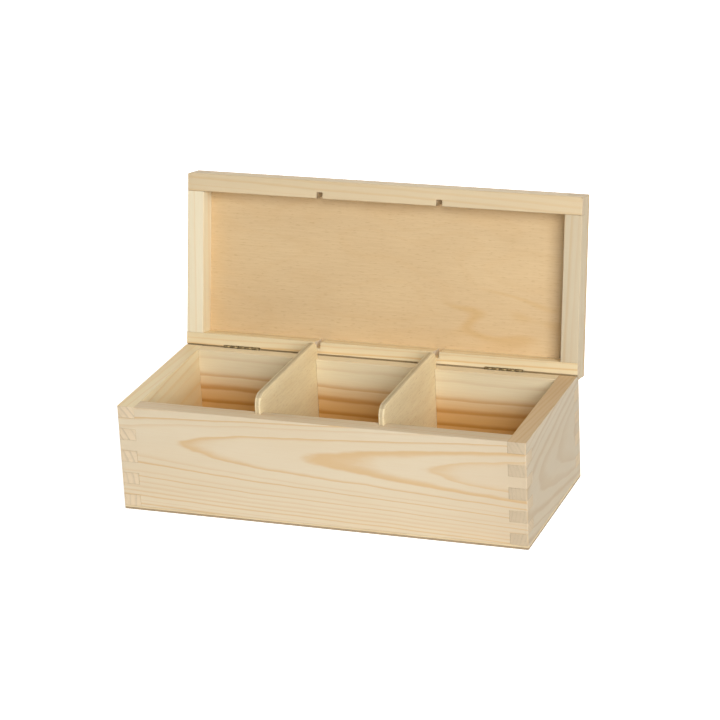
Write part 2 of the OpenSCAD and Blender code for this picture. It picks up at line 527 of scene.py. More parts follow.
def start_material(name):
    """A material with an empty tree; returns it, its tree and its Principled shader."""
    material = bpy.data.materials.new(name)
    material.use_nodes = True
    tree = material.node_tree
    tree.nodes.clear()
    shader = add_node(tree, "ShaderNodeBsdfPrincipled")
    output = add_node(tree, "ShaderNodeOutputMaterial")
    tree.links.new(shader.outputs[0], output.inputs["Surface"])
    return material, tree, shader


def finish_surface(tree, shader, colour, rough, height, strength, relief):
    """Feeds a shader its colour, its roughness and a bump of that strength and relief."""
    bump = add_node(
        tree, "ShaderNodeBump", {"Strength": strength, "Distance": relief, "Height": height}
    )
    feed(tree, shader.inputs["Base Color"], colour)
    feed(tree, shader.inputs["Roughness"], rough)
    feed(tree, shader.inputs["Normal"], bump.outputs[0])


def paint(mesh, material):
    """Gives a mesh that material alone."""
    mesh.materials.clear()
    mesh.materials.append(material)


def attribute(tree, name):
    return add_node(tree, "ShaderNodeAttribute", attribute_name=name).outputs["Fac"]


def pine_material(name, log, closed, seed):
    """Solid pine board, sawn from the log that the settings describe."""
    look = bpy.context.scene.tea_box_pine
    early, late, heart_and_shade_colour = (
        rgba(c * t for c, t in zip(colour, log["tint"]))
        for colour in (
            look.early_wood,
            log.get("late_colour", look.late_wood),
            log.get("heart_and_shade_colour", look.heart_wood),
        )
    )
    material, tree, shader = start_material(name)
    vector = mapped_vector(tree, log_frame(log["middle"], log["along"]), closed)
    rings = place_group(
        tree,
        shared(growth_ring_group),
        vector=vector,
        ring_width=log["ring"] * MM,
        phase=log["phase"],
        waviness=log["wave"] * MM,
        seed=seed,
    )
    late_wood, fibre, rays = rings["Late Wood"], rings["Fibre"], rings["Rays"]
    # Board colour: early wood, warmed towards a line, with tan growth lines. On the left wall that
    # warmth is heartwood; on the front wall's right end and low in the back wall's bays it is
    # painted shade
    parts = split(tree, vector)
    warm_line_y, warm_line_z = (c * MM for c in log["heart_and_shade_at"])
    off_y, off_z = minus(tree, parts["Y"], warm_line_y), minus(tree, parts["Z"], warm_line_z)
    from_warm_line = maths(tree, "SQRT", squares(tree, off_y, off_z))
    warmed = from_warm_line
    if "painted_shade_slope" in log:
        warmed = plus(tree, from_warm_line, times(tree, parts["X"], log["painted_shade_slope"]))
    warm_from, warm_to = (c * MM for c in log["heart_and_shade"])
    heart_and_shade = ramp(tree, warmed, warm_from, warm_to, log["heart_and_shade_depth"], 0.0)
    ground = blend_colour(tree, heart_and_shade, early, heart_and_shade_colour)
    pale = tinged(tree, ground, late, rings["Tone"], 0.08)
    shows = times(tree, late_wood, log["contrast"])
    if "ring_fade" in log:
        # Far from that line this board's rings hardly show
        inner, outer = (c * MM for c in log["ring_fade"])
        shows = times(tree, shows, ramp(tree, from_warm_line, inner, outer, 1.0, 0.15))
    ringed = blend_colour(tree, shows, pale, late)
    streaked = tinged(tree, ringed, late, fibre, 0.07)
    # Cut ends: greyer, with darker rings and pores
    end_colour = tuple(c * log["end_tone"] for c in look.end_grain)
    end_rings = rgba(end_colour, 0.6)
    cut_end = tinged(tree, rgba(end_colour), end_rings, late_wood, log["end_contrast"])
    pored = tinged(tree, cut_end, rgba(end_colour, 0.5), rays, 0.15)
    end_grain = attribute(tree, "end_grain")
    wood = blend_colour(tree, end_grain, streaked, pored)
    # Rubbed edges and hairlines in the joints, which use and glue left; rims darkened partly by
    # hand wear and partly as painted shade and warm bounce light; and painted shade, darker and
    # cooler, on the right wall's outside faces
    eased = attribute(tree, "eased")
    wear = place_group(tree, shared(handling_group), vector=vector, mask=eased, scale=90.0)["Wear"]
    handled = tinged(tree, wood, heart_and_shade_colour, wear, 0.16)
    # Rims darker and warmer: partly hand wear, partly painted shade and warm bounce light
    if "rim_wear_and_shade" in log:
        rim = attribute(tree, "rim")
        handled = tinged(tree, handled, rgba(look.handled), rim, log["rim_wear_and_shade"])
    # Painted shade: outside faces darker and cooler
    if "painted_outside_shade" in log:
        outside = attribute(tree, "outside")
        handled = blend_colour(tree, outside, handled, rgba(log["painted_outside_shade"]), "MULTIPLY")
    lined = tinged(tree, handled, rgba(look.glue_line), attribute(tree, "joint"), 0.45)
    # Late wood is harder and sands smoother; cut ends stay rough
    rough = minus(tree, 0.66, times(tree, late_wood, 0.14))
    rough = plus(tree, rough, times(tree, end_grain, 0.16))
    rough = minus(tree, rough, times(tree, wear, 0.10))
    height = plus(tree, times(tree, fibre, 0.5), times(tree, late_wood, 0.6))
    height = minus(tree, height, times(tree, rays, 0.3))
    finish_surface(tree, shader, lined, rough, height, 0.25, 0.05 * MM)
    shader.inputs["Specular IOR Level"].default_value = 0.32
    return material


def plywood_material(
    name, placed, closed, thickness, seed, face_colour, core_shows, spot, scuff=0.0
):
    """Birch plywood: grain along X of the placed frame, layers stacked along its Z from 0."""
    look = bpy.context.scene.tea_box_plywood
    fleck, core = rgba(look.fleck), rgba(look.core)
    material, tree, shader = start_material(name)
    vector = mapped_vector(tree, placed, closed)
    face = place_group(tree, shared(veneer_group), vector=vector, seed=seed)
    toned = tinged(tree, rgba(face_colour), fleck, face["Tone"], 0.14)
    # The peeled figure is faint, but for one spot of the face
    spot_x, spot_y, spot_length, spot_width = (c * MM for c in spot)
    parts = split(tree, vector)
    off_x = maths(tree, "DIVIDE", minus(tree, parts["X"], spot_x), spot_length)
    off_y = maths(tree, "DIVIDE", minus(tree, parts["Y"], spot_y), spot_width)
    off = squares(tree, off_x, off_y)
    figure = times(tree, face["Figure"], ramp(tree, off, 0.2, 1.0, 0.55, 0.1))
    figured = blend_colour(tree, figure, toned, rgba(look.figure))
    flecked = tinged(tree, figured, fleck, face["Fleck"], 0.38)
    streaked = tinged(tree, flecked, fleck, face["Fibre"], 0.15)
    # Three layers: the middle one runs crosswise, so the edges show it as cut ends
    layer = maths(tree, "DIVIDE", parts["Z"], thickness)
    from_middle = maths(tree, "ABSOLUTE", minus(tree, layer, 0.5))
    in_core = ramp(tree, from_middle, GLUE_AT - CORE_FADE, GLUE_AT + CORE_FADE, 1.0, 0.0)
    off_line = maths(tree, "ABSOLUTE", minus(tree, from_middle, GLUE_AT))
    on_line = ramp(tree, off_line, 0.012, 0.03, 1.0, 0.0)
    cored = tinged(tree, streaked, core, in_core, core_shows)
    glued = tinged(tree, cored, rgba(look.glue), on_line, core_shows)
    eased = attribute(tree, "eased")
    wear = place_group(tree, shared(handling_group), vector=vector, mask=eased, scale=80.0)
    worn = tinged(tree, glued, core, wear["Wear"], 0.2)
    if scuff:
        # The bottom's lower edge is darker, towards the core colour
        low = times(tree, eased, ramp(tree, layer, 0.4, 0.65, scuff, 0.0))
        worn = blend_colour(tree, low, worn, core)
    top_edge = times(tree, attribute(tree, "rim"), attribute(tree, "end_grain"))
    handled = tinged(tree, worn, core, top_edge, 0.45)
    rough = plus(tree, 0.52, times(tree, face["Fleck"], 0.15))
    rough = plus(tree, rough, times(tree, in_core, 0.15))
    rough = minus(tree, rough, times(tree, wear["Smudge"], 0.05))
    height = minus(tree, face["Fibre"], times(tree, face["Fleck"], 0.8))
    finish_surface(tree, shader, handled, rough, height, 0.2, 0.04 * MM)
    shader.inputs["Specular IOR Level"].default_value = 0.35
    return material


def steel_material(name, colour, seed):
    """Thin bronzed sheet steel with fine rolling marks and rubbed high spots."""
    material, tree, shader = start_material(name)
    coords = add_node(tree, "ShaderNodeTexCoord").outputs["Object"]
    offset = (seed, seed, seed)
    brushed = stretched_noise(tree, coords, (120.0, 5200.0, 5200.0), offset, detail=2.0)
    cloud = stretched_noise(tree, coords, (480.0, 480.0, 480.0), offset, detail=4.0)
    high = ramp(tree, cloud, 0.45, 0.7)
    wear = place_group(tree, shared(handling_group), vector=coords, mask=high, scale=700.0)
    bright = rgba(min(1.0, c * 2.2) for c in colour)
    marks = ramp(tree, brushed, 0.35, 0.65, 0.0, 0.5)
    shaded = blend_colour(tree, marks, rgba(colour), rgba(colour, 0.55))
    rubbed = tinged(tree, shaded, bright, wear["Wear"], 0.5)
    rough = plus(tree, 0.34, times(tree, brushed, 0.2))
    finish_surface(tree, shader, rubbed, rough, brushed, 0.3, 0.02 * MM)
    feed(tree, shader.inputs["Metallic"], ramp(tree, cloud, 0.3, 0.7, 0.75, 1.0))
    return material


# ---- Boards: merged copies of the sawn parts, with their edges eased ----

# Where each board lay in its log, in millimetres with the box closed: a point of the log's middle
# line, that line's direction, the ring width, and how the rings show.
BOARDS = {
    "base_front_wall": {
        "tint": (0.91, 0.945, 1.0),
        "rim_wear_and_shade": 0.14,
        "middle": (0.0, -16.8, 51.5),
        "along": (1.0, -0.022, -0.004),
        "ring": 2.0,
        "phase": 1.23,
        "wave": 0.35,
        "contrast": 0.68,
        # Painted shade: these heart settings make the front wall darker and warmer towards its
        # right end
        "heart_and_shade_at": (0.0, -1000.0),
        "painted_shade_slope": -1.0,
        "heart_and_shade": (835.0, 1000.0),
        "heart_and_shade_depth": 0.5,
        "heart_and_shade_colour": (0.60, 0.45, 0.30),
    },
    "base_back_wall": {
        "tint": (1.06, 1.14, 1.15),
        "rim_wear_and_shade": 0.25,
        "middle": (0.0, 20.0, 160.0),
        "along": (1.0, 0.0, -0.006),
        "ring": 10.2,
        "phase": 3.0,
        "wave": 1.0,
        "contrast": 1.0,
        "late_colour": (0.46, 0.185, 0.03),
        # Painted shade: these heart settings make the back wall darker and more orange low in the
        # bays and towards its right corner; its rings fade higher up
        "heart_and_shade_at": (-140.0, 10.0),
        "painted_shade_slope": -0.01,
        "heart_and_shade": (43.5, 61.0),
        "heart_and_shade_depth": 0.96,
        "heart_and_shade_colour": (0.645, 0.330, 0.104),
        "ring_fade": (56.0, 60.5),
    },
    "base_left_wall": {
        "tint": (1.07, 1.14, 1.12),
        "rim_wear_and_shade": 0.12,
        "end_tone": 1.08,
        "end_contrast": 0.5,
        "middle": (-205.0, 0.0, 14.0),
        "along": (0.02, 1.0, 0.03),
        "ring": 4.6,
        "phase": 0.1,
        "wave": 0.5,
        "contrast": 0.40,
        "heart_and_shade": (75.0, 95.0),
        "heart_and_shade_depth": 0.6,
    },
    "base_right_wall": {
        "tint": (1.0, 1.0, 1.0),
        # Painted shade on this wall's outside faces, darker and cooler
        "painted_outside_shade": (0.755, 0.79, 0.855),
        "rim_wear_and_shade": 0.53,
        "end_tone": 0.92,
        "end_contrast": 0.25,
        "middle": (76.0, 0.0, 36.0),
        "along": (0.065, 1.0, 0.05),
        "ring": 2.6,
        "phase": 0.4,
        "wave": 0.6,
        "contrast": 0.8,
        "late_colour": (0.60, 0.40, 0.20),
    },
    "lid_front_rail": {
        "tint": (0.86, 0.85, 0.80),
        "middle": (0.0, -90.0, 40.0),
        "along": (1.0, 0.01, 0.02),
        "ring": 3.2,
        "phase": 0.0,
        "wave": 0.4,
        "contrast": 0.30,
    },
    "lid_back_rail": {
        "tint": (1.0, 1.02, 0.95),
        "middle": (0.0, 20.0, 60.0),
        "along": (1.0, -0.015, 0.01),
        "ring": 4.4,
        "phase": 0.3,
        "wave": 0.6,
        "contrast": 0.65,
    },
    "lid_left_rail": {
        "tint": (1.04, 1.14, 1.22),
        "middle": (-190.0, 0.0, 60.0),
        "along": (0.02, 1.0, 0.02),
        "ring": 5.2,
        "phase": 0.2,
        "wave": 0.5,
        "contrast": 0.30,
    },
    "lid_right_rail": {
        "tint": (0.79, 0.82, 0.84),
        "middle": (190.0, 0.0, 50.0),
        "along": (-0.03, 1.0, 0.02),
        "ring": 5.0,
        "phase": 0.6,
        "wave": 0.5,
        "contrast": 0.35,
    },
}

# What holds for a board where the list above says nothing else
PLAIN_BOARD = {
    "heart_and_shade_at": (0.0, 0.0),
    "heart_and_shade": (0.0, 1.0),
    "heart_and_shade_depth": 0.0,
    "end_tone": 1.0,
    "end_contrast": 0.35,
}

# Points closer than this are one, and faces within this angle are one flat
MERGE_GAP = 0.001 * MM
FLAT_ANGLE = math.radians(0.4)
# An edge is rounded from this angle between its faces. Its middle point tells which edge it is,
# by how near that lies to a plane, to the outside, to the back face and to the stop chamfer's end.
EDGE_ANGLE = math.radians(28)
ON_PLANE = 0.06 * MM
NEAR_OUTSIDE = 1.1 * MM
ON_BACK = 0.02 * MM
NEAR_CHAMFER_END = 0.3 * MM
# How far a face's direction lies along an axis: at least, for a flat face and for one that
# looks that way, and at most, along Z, for an upright one
FLAT = 0.995
FACING = 0.7
UPRIGHT = 0.1
RIM_DEPTH = 8 * MM
FACE_MARKS = ("end_grain", "joint", "eased", "rim", "outside")


def merged_copy(node, name):
    """A new mesh from a CAD node, with loose triangles joined and flat areas made one face."""
    bm = bmesh.new()
    bm.from_mesh(frame["nodes"][node].data)
    bmesh.ops.remove_doubles(bm, verts=bm.verts, dist=MERGE_GAP)
    bmesh.ops.dissolve_limit(
        bm, angle_limit=FLAT_ANGLE, verts=bm.verts, edges=bm.edges, delimit={"NORMAL"}
    )
    for face in bm.faces:
        face.smooth = True
    mesh = bpy.data.meshes.new(name)
    bm.to_mesh(mesh)
    bm.free()
    return mesh


def near(a, b, within=ON_PLANE):
    return abs(a - b) < within


def is_exposed(point, lid):
    """Whether an edge with this middle point, with the box closed, is an outer edge or a rim."""
    x, y = abs(point.x), abs(point.y)
    inner_w, inner_d = HALF_W - BOARD_T, HALF_D - BOARD_T
    if near(point.z, LID_RIM_Z if lid else RIM_Z):
        outer = x > HALF_W - NEAR_OUTSIDE or y > HALF_D - NEAR_OUTSIDE
        inner_x = near(x, inner_w) and y < inner_d + ON_PLANE
        inner_y = near(y, inner_d) and x < inner_w + ON_PLANE
        return outer or inner_x or inner_y or near(point.y, HALF_D - STOP_CHAMFER)
    chamfer_end = STOP_CHAMFER + HINGE_POINT.z - RIM_Z
    from_hinge = abs(point.z - HINGE_POINT.z)
    return near(point.y, HALF_D, ON_BACK) and near(from_hinge, chamfer_end, NEAR_CHAMFER_END)


def weigh_edges(mesh, closed, exposed_test, hidden):
    """Marks each sharp edge for the bevel: fully where exposed, slightly where hidden."""
    bm = bmesh.new()
    bm.from_mesh(mesh)
    layer = bm.edges.layers.float.new("bevel_weight_edge")
    for edge in bm.edges:
        if len(edge.link_faces) != 2 or edge.calc_face_angle() < EDGE_ANGLE:
            continue
        middle = closed @ ((edge.verts[0].co + edge.verts[1].co) / 2)
        edge[layer] = 1.0 if exposed_test(middle) else hidden
    bm.to_mesh(mesh)
    bm.free()


def finished_mesh(obj):
    """The object with its modifiers applied, as a plain mesh object at the origin."""
    graph = bpy.context.evaluated_depsgraph_get()
    mesh = bpy.data.meshes.new_from_object(
        obj.evaluated_get(graph), preserve_all_data_layers=True, depsgraph=graph
    )
    obj.modifiers.clear()
    old = obj.data
    obj.data = mesh
    mesh.name = obj.name
    bpy.data.meshes.remove(old)
    return obj


def round_edges(obj, width, steps):
    """Rounds the weighed edges and keeps the flats shaded flat."""
    bevel = obj.modifiers.new("Eased edges", "BEVEL")
    bevel.width = width
    bevel.segments = steps
    bevel.limit_method = "WEIGHT"
    bevel.use_clamp_overlap = True
    bevel.harden_normals = True
    return finished_mesh(obj)


def mark_faces(mesh, closed, is_end, joint_width):
    """Stores what each face is, for the materials: a cut end, a joint hairline, an eased edge,
    a rim, darkened partly for hand wear and partly as painted shade, or an outside face of the
    box."""
    turned = closed.to_3x3()
    corner_x, corner_y = HALF_W - CORNER_R, HALF_D - CORNER_R
    for name in FACE_MARKS:
        mesh.attributes.new(name, "FLOAT", "CORNER")
    layers = [mesh.attributes[name].data for name in FACE_MARKS]
    for polygon in mesh.polygons:
        normal = turned @ polygon.normal
        flat = max(abs(c) for c in normal) > FLAT
        points = [mesh.vertices[i].co for i in polygon.vertices]
        narrow = min((points[i] - points[i - 1]).length for i in range(len(points)))
        middle = closed @ polygon.center
        far_x, far_y = abs(middle.x) > corner_x, abs(middle.y) > corner_y
        on_corner = far_x and far_y and abs(normal.z) < UPRIGHT
        on_joint = not flat and not on_corner and narrow < joint_width
        on_rim = normal.z > FACING and middle.z > RIM_Z - RIM_DEPTH
        outer_x = far_x and abs(normal.x) > FACING
        outer_y = far_y and abs(normal.y) > FACING
        cut = is_end(normal)
        outside = (outer_x or outer_y) and not cut
        marks = (cut, on_joint, not flat and not on_joint, on_rim, outside)
        for layer, mark in zip(layers, marks):
            for i in polygon.loop_indices:
                layer[i].value = float(mark)


def linked(name, data):
    """A new object in the scene with that mesh, light or camera."""
    obj = bpy.data.objects.new(name, data)
    bpy.context.scene.collection.objects.link(obj)
    return obj


def hand_over(obj, on_lid, node):
    """Rides the piece on its body, in place of its CAD node."""
    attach(obj, "lid" if on_lid else "base")
    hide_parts(node)


def remade_piece(node, suffix, closed, exposed_test, hidden, width):
    """A copy of a CAD node with its edges rounded."""
    mesh = merged_copy(node, node + suffix)
    weigh_edges(mesh, closed, exposed_test, hidden)
    steps = bpy.context.scene.tea_box_case.edge_steps
    return round_edges(linked(node + suffix, mesh), width, steps)


def make_board(node, seed):
    """A pine board with eased rims, hairline joints and the grain of its own log."""
    case = bpy.context.scene.tea_box_case
    log = PLAIN_BOARD | BOARDS[node]
    grain = max(range(3), key=lambda axis: abs(log["along"][axis]))
    lid = node.startswith("lid")
    closed = CLOSE_LID if lid else STAY
    hidden = case.joint_edge / case.eased_edge
    obj = remade_piece(
        node, "_board", closed, lambda p: is_exposed(p, lid), hidden, case.eased_edge
    )
    mark_faces(obj.data, closed, lambda n: abs(n[grain]) > FACING, 2.0 * case.joint_edge)
    paint(obj.data, pine_material("pine_" + node, log, closed, seed))
    hand_over(obj, lid, node)


def make_plywood(node, placed, closed, thickness, **look):
    """A plywood piece with rounded edges and its layers showing there."""
    case = bpy.context.scene.tea_box_case
    obj = remade_piece(node, "_ply", closed, lambda p: True, 1.0, case.ply_edge)
    stack = placed.to_3x3().col[2]
    mark_faces(obj.data, closed, lambda n: abs(n.dot(stack)) < FACING, 0.0)
    paint(obj.data, plywood_material("plywood_" + node, placed, closed, thickness, **look))
    hand_over(obj, node.startswith("lid"), node)


def closed_heights(node):
    """Lowest and highest point of a lid node with the box closed."""
    heights = [(CLOSE_LID @ v.co).z for v in frame["nodes"][node].data.vertices]
    return min(heights), max(heights)


# ---- Hinges ----

# The sheet curls nearly all the way round the pin, from the plate's side, and leaves a seam open
CURL_START = math.radians(188)
CURL_SWEEP = math.radians(338)
CURL_POINTS = 28


def geometry_group(name, inputs):
    """An empty geometry tree with named inputs; returns it and its input and output nodes."""
    tree = bpy.data.node_groups.new(name, "GeometryNodeTree")
    tree.interface.new_socket(name="Geometry", in_out="OUTPUT", socket_type="NodeSocketGeometry")
    for label, kind in inputs:
        tree.interface.new_socket(name=label, in_out="INPUT", socket_type="NodeSocket" + kind)
    return tree, add_node(tree, "NodeGroupInput"), add_node(tree, "NodeGroupOutput")


def knuckle_row_tree():
    """Knuckles in a row along X: sheet curled round the pin, repeated at a pitch."""
    tree, given, out = geometry_group(
        "Knuckle row",
        [
            ("Count", "Int"),
            ("Pitch", "Float"),
            ("First", "Float"),
            ("Knuckle Length", "Float"),
            ("Curl Radius", "Float"),
            ("Sheet", "Float"),
            ("Material", "Material"),
        ],
    )
    value = given.outputs
    curl = add_node(
        tree,
        "GeometryNodeCurveArc",
        {
            "Resolution": CURL_POINTS,
            "Radius": value["Curl Radius"],
            "Start Angle": CURL_START,
            "Sweep Angle": CURL_SWEEP,
        },
        mode="RADIUS",
    )
    strip = add_node(
        tree,
        "GeometryNodeCurvePrimitiveQuadrilateral",
        {"Width": value["Sheet"], "Height": value["Knuckle Length"]},
        mode="RECTANGLE",
    )
    curves = {"Curve": curl.outputs["Curve"], "Profile Curve": strip.outputs["Curve"]}
    rolled = add_node(tree, "GeometryNodeCurveToMesh", {**curves, "Fill Caps": True})
    along_x = Euler((math.pi / 2, 0.0, math.pi / 2))
    knuckle = add_node(
        tree,
        "GeometryNodeTransform",
        {"Geometry": rolled.outputs["Mesh"], "Rotation": along_x},
    )
    step = add_node(tree, "ShaderNodeCombineXYZ", {"X": value["Pitch"]})
    start = add_node(tree, "ShaderNodeCombineXYZ", {"X": value["First"]})
    row = add_node(
        tree,
        "GeometryNodeMeshLine",
        {
            "Count": value["Count"],
            "Start Location": start.outputs[0],
            "Offset": step.outputs[0],
        },
        mode="OFFSET",
    )
    placed = add_node(
        tree,
        "GeometryNodeInstanceOnPoints",
        {"Points": row.outputs["Mesh"], "Instance": knuckle.outputs["Geometry"]},
    )
    real = add_node(tree, "GeometryNodeRealizeInstances", {"Geometry": placed.outputs[0]})
    painted = add_node(
        tree,
        "GeometryNodeSetMaterial",
        {"Geometry": real.outputs["Geometry"], "Material": value["Material"]},
    )
    feed(tree, out.inputs["Geometry"], painted.outputs["Geometry"])
    return tree


def grown_mesh(name, tree, values):
    """A plain mesh from a geometry tree, with its inputs set by name."""
    obj = linked(name, bpy.data.meshes.new(name))
    modifier = obj.modifiers.new(tree.name, "NODES")
    modifier.node_group = tree
    for item in tree.interface.items_tree:
        if item.in_out == "INPUT" and item.name in values:
            modifier[item.identifier] = values[item.name]
    return finished_mesh(obj)


def leaf_plate(name, thickness, knuckle_r, tabs):
    """The flat of a leaf below the pin line, with saw-toothed ends and tabs up to its knuckles."""
    shoulder = knuckle_r + LEAF_SHOULDER
    pitch = (LEAF_DEPTH - shoulder) / (BARBS + 1)
    half_len = LEAF_LENGTH / 2
    right = []
    for i in range(BARBS):
        right.append((half_len, -shoulder - i * pitch))
        right.append((half_len - BARB_DEPTH, -shoulder - (i + 1) * pitch))
    tip = half_len - 2 * BARB_DEPTH
    left = [(-x, z) for x, z in reversed(right)]
    top = []
    for low, high in tabs:
        top += [(low, -shoulder), (low, 0.0), (high, 0.0), (high, -shoulder)]
    outline = right + [(tip, -LEAF_DEPTH), (-tip, -LEAF_DEPTH)] + left + top
    faces_y = (-knuckle_r, thickness - knuckle_r)
    points = [(x, y, z) for y in faces_y for x, z in outline]
    n = len(outline)
    sides = [(i, (i + 1) % n, (i + 1) % n + n, i + n) for i in range(n)]
    mesh = bpy.data.meshes.new(name)
    mesh.from_pydata(points, [], [range(n), range(2 * n - 1, n - 1, -1), *sides])
    return mesh


def joined(name, objects):
    """One object from several, with faces pointing outwards."""
    with bpy.context.temp_override(
        active_object=objects[0], selected_editable_objects=objects, object=objects[0]
    ):
        bpy.ops.object.join()
    obj = objects[0]
    obj.name = name
    bm = bmesh.new()
    bm.from_mesh(obj.data)
    bmesh.ops.recalc_face_normals(bm, faces=bm.faces)
    bm.to_mesh(obj.data)
    bm.free()
    return obj


def make_leaf(node, lid, seed):
    """One hinge leaf: its knuckles rolled from the sheet, its barbed plate in the kerf."""
    look = bpy.context.scene.tea_box_hinge
    low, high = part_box(node)
    pitch = LEAF_LENGTH / look.knuckle_count
    first = 1 if lid else 0
    radius = look.knuckle_d / 2
    count = (look.knuckle_count + 1 - first) // 2
    start = -LEAF_LENGTH / 2 + (first + 0.5) * pitch
    material = steel_material("steel_" + node, look.steel, seed)
    wide = pitch - look.knuckle_gap
    row = grown_mesh(
        node + "_row",
        shared(knuckle_row_tree),
        {
            "Count": count,
            "Pitch": 2 * pitch,
            "First": start,
            "Knuckle Length": wide,
            "Curl Radius": radius - look.leaf_t / 2,
            "Sheet": look.leaf_t,
            "Material": material,
        },
    )
    middles = [start + i * 2 * pitch for i in range(count)]
    tabs = [(x - wide / 2, x + wide / 2) for x in middles]
    plate = linked(node + "_plate", leaf_plate(node + "_plate", look.leaf_t, radius, tabs))
    paint(plate.data, material)
    leaf = joined(node + "_steel", [row, plate])
    placed = Matrix.Translation(((low.x + high.x) / 2, HINGE_POINT.y, HINGE_POINT.z))
    if lid:
        placed = CLOSE_LID.inverted() @ placed @ Matrix.Diagonal((1, 1, -1, 1))
    leaf.data.transform(placed)
    if lid:
        leaf.data.flip_normals()
    hand_over(leaf, lid, node)


# ---- Operators: one for each group of like pieces ----

# Share of the bottom's thickness by which its layers lie low, so that its edge is darker towards
# the bottom
BOTTOM_SHIFT = 0.15
# Where the figure shows on a sheet, and half its length and width there, in millimetres. The
# dividers' spot lies off them, so that theirs stays faint.
BOTTOM_SPOT = (-60, 10, 70, 30)
LID_SPOT = (84, 28, 52, 24)
DIVIDER_SPOT = (300, 40, 40, 20)


class TEABOX_OT_base_walls(bpy.types.Operator):
    """Builds the four finger-jointed walls of the base"""

    bl_idname = "teabox.base_walls"
    bl_label = "Base Walls"

    def execute(self, context):
        for i, node in enumerate(n for n in BOARDS if n.startswith("base")):
            make_board(node, 3.0 + 1.7 * i)
        return {"FINISHED"}


class TEABOX_OT_lid_rails(bpy.types.Operator):
    """Builds the four finger-jointed rails of the lid"""

    bl_idname = "teabox.lid_rails"
    bl_label = "Lid Rails"

    def execute(self, context):
        for i, node in enumerate(n for n in BOARDS if n.startswith("lid")):
            make_board(node, 21.0 + 2.3 * i)
        return {"FINISHED"}


class TEABOX_OT_panels(bpy.types.Operator):
    """Builds the plywood bottom of the base and top of the lid"""

    bl_idname = "teabox.panels"
    bl_label = "Panels"

    def execute(self, context):
        look = context.scene.tea_box_plywood
        make_plywood(
            "bottom_panel",
            Matrix.Translation((0, 0, -BOTTOM_SHIFT * BOTTOM_T)),
            STAY,
            BOTTOM_T,
            seed=5.0,
            face_colour=look.bottom_veneer,
            core_shows=0.9,
            spot=BOTTOM_SPOT,
            scuff=0.9,
        )
        inner, outer = closed_heights("lid_top_panel")
        make_plywood(
            "lid_top_panel",
            Matrix.Translation((0, 0, inner)),
            CLOSE_LID,
            outer - inner,
            seed=8.0,
            face_colour=look.veneer,
            core_shows=0.6,
            spot=LID_SPOT,
        )
        return {"FINISHED"}


class TEABOX_OT_dividers(bpy.types.Operator):
    """Builds the two plywood dividers"""

    bl_idname = "teabox.dividers"
    bl_label = "Dividers"

    def execute(self, context):
        # X along a divider's length, Z through its thickness from its left face
        turned = Matrix(((0, 0, 1, 0), (1, 0, 0, 0), (0, 1, 0, 0), (0, 0, 0, 1)))
        for i, node in enumerate(("left_divider", "right_divider")):
            low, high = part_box(node)
            make_plywood(
                node,
                Matrix.Translation((low.x, 0, 0)) @ turned,
                STAY,
                high.x - low.x,
                seed=12.0 + 4.1 * i,
                face_colour=context.scene.tea_box_plywood.divider_veneer,
                core_shows=0.45,
                spot=DIVIDER_SPOT,
            )
        return {"FINISHED"}


class TEABOX_OT_hinges(bpy.types.Operator):
    """Builds the leaves of both hinges and paints their pins"""

    bl_idname = "teabox.hinges"
    bl_label = "Hinges"

    def execute(self, context):
        # The pins are of a brighter steel than the leaves
        bright = tuple(2.0 * c for c in context.scene.tea_box_hinge.steel)
        for i, side in enumerate(("left", "right")):
            make_leaf(side + "_hinge_base_leaf", False, 30.0 + i)
            make_leaf(side + "_hinge_lid_leaf", True, 40.0 + i)
            pin = frame["nodes"][side + "_hinge_pin"]
            paint(pin.data, steel_material("steel_" + side + "_pin", bright, 50.0 + i))
        return {"FINISHED"}


# ---- Floor, lights and camera ----

# In metres: the lights' distance, the point that they face and their sizes, half the floor's
# size, and where round the box the floor goes from its shadow's lift to white
LIGHT_DISTANCE = 5.0
LIGHT_TARGET = Vector((0.0, 0.0, 0.08))
WIDE_LIGHT = 2.95
SMALL_LIGHT = 2.05
FLOOR_REACH = 6.0
FADE_FROM, FADE_TO = 0.15, 0.5
SHADOW_LIFT = 0.66
WHITE = (1.0, 1.0, 1.0, 1.0)
CAMERA_TARGET = Vector((9.39 * MM, 0.0, 98.74 * MM))


def seen_from(azimuth, elevation):
    """Direction from the box to a viewer or light at these angles."""
    level = math.cos(elevation)
    return Vector((math.sin(azimuth) * level, -math.cos(azimuth) * level, math.sin(elevation)))


def soft_light(name, power, size, azimuth, elevation):
    """A square area light that faces the box, at angles in degrees like the camera's."""
    back = seen_from(math.radians(azimuth), math.radians(elevation))
    data = bpy.data.lights.new(name, "AREA")
    data.shape = "SQUARE"
    data.size = size
    data.energy = power
    light = linked(name, data)
    light.location = LIGHT_TARGET + back * LIGHT_DISTANCE
    light.rotation_mode = "QUATERNION"
    light.rotation_quaternion = (-back).to_track_quat("-Z", "Y")
    return light


def seen_directly(tree):
    """1 for rays that come from the camera, a reflection or through glass, else 0."""
    rays = add_node(tree, "ShaderNodeLightPath").outputs
    either = maths(tree, "MAXIMUM", rays["Is Glossy Ray"], rays["Is Transmission Ray"])
    return maths(tree, "MAXIMUM", rays["Is Camera Ray"], either)


